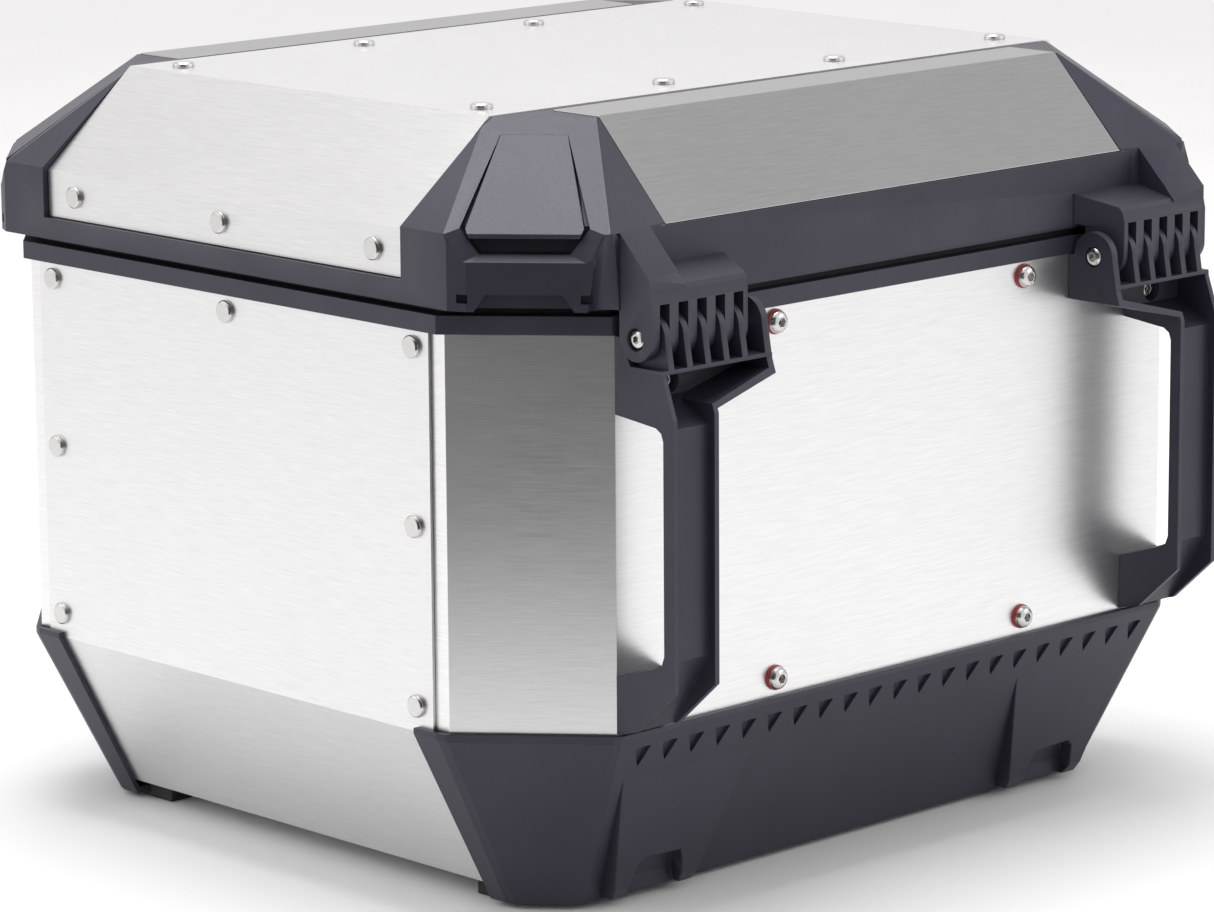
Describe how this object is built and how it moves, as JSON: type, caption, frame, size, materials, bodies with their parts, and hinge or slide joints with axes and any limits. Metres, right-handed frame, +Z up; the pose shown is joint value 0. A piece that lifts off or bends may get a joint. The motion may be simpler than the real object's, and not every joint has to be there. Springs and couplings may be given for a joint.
{
  "type": "motorcycle top case",
  "caption": "Hard aluminium luggage case for a motorcycle carrier, with moulded corners, a hinged lid that opens wide, two grab handles and a lockable front latch.",
  "frame": {"origin": "centre of the case's outline, on the surface its rubber feet stand on", "axes": "+X across the case, +Y towards the hinges and handles, -Y towards the latch, +Z up"},
  "size_m": [0.487, 0.4885, 0.3676],
  "materials": {
    "brushed_aluminium": "fine brushed sheet, 1.5 mm",
    "black_moulding": "satin, fine moulded grain",
    "stainless_steel": "plain",
    "red_sealing_washer": "red",
    "rubber": "matt"
  },
  "bodies": {
    "case": {"side_panel_right": "brushed_aluminium", "side_panel_left": "brushed_aluminium", "rear_wall": "brushed_aluminium", "front_wall": "brushed_aluminium", "floor_panel": "brushed_aluminium", "base_rim": "black_moulding", "lid_gasket": "rubber", "rear_bumper": "black_moulding", "front_bumper": "black_moulding", "rubber_foot_rear_right": "rubber", "rubber_foot_rear_left": "rubber", "rubber_foot_front_right": "rubber", "rubber_foot_front_left": "rubber", "mounting_plate": "black_moulding", "mounting_plate_screws": "stainless_steel", "side_rivets_right": "stainless_steel", "side_rivets_left": "stainless_steel", "rear_bolts": "stainless_steel", "rear_bolt_washers": "red_sealing_washer", "rear_bolt_nuts": "stainless_steel", "hinge_bracket_right": "black_moulding", "hinge_bracket_left": "black_moulding", "hinge_pin_right": "stainless_steel", "hinge_pin_left": "stainless_steel", "hinge_pin_caps": "stainless_steel", "bracket_screws": "stainless_steel", "latch_housing": "black_moulding", "latch_pin": "stainless_steel", "latch_housing_screws": "stainless_steel"},
    "lid": {"lid_frame": "black_moulding", "lid_top_sheet": "brushed_aluminium", "lid_rear_panel": "brushed_aluminium", "lid_front_panel": "brushed_aluminium", "lid_corner_insert_rear_right": "black_moulding", "lid_corner_insert_rear_left": "black_moulding", "lid_corner_insert_front_right": "black_moulding", "lid_corner_insert_front_left": "black_moulding", "lid_top_rivets": "stainless_steel", "lid_side_rivets": "stainless_steel", "latch_keeper": "stainless_steel", "keeper_screws": "stainless_steel"},
    "latch": {"latch_lever": "black_moulding"},
    "lock": {"lock_cylinder": "stainless_steel", "lock_cam": "stainless_steel"}
  },
  "joints": [
    {"name": "lid_hinge", "type": "hinge", "parent": "case", "child": "lid", "pos_m": [0, 0.2205, 0.275], "axis": [-1, 0, 0], "range_deg": [0, 95]},
    {"name": "latch_swing", "type": "hinge", "parent": "case", "child": "latch", "pos_m": [0, -0.222, 0.208], "axis": [1, 0, 0], "range_deg": [-9, 60]},
    {"name": "lock_turn", "type": "hinge", "parent": "latch", "child": "lock", "pos_m": [0, -0.23413, 0.25265], "axis": [0, -0.9877, -0.1564], "range_deg": [0, 90]}
  ]
}
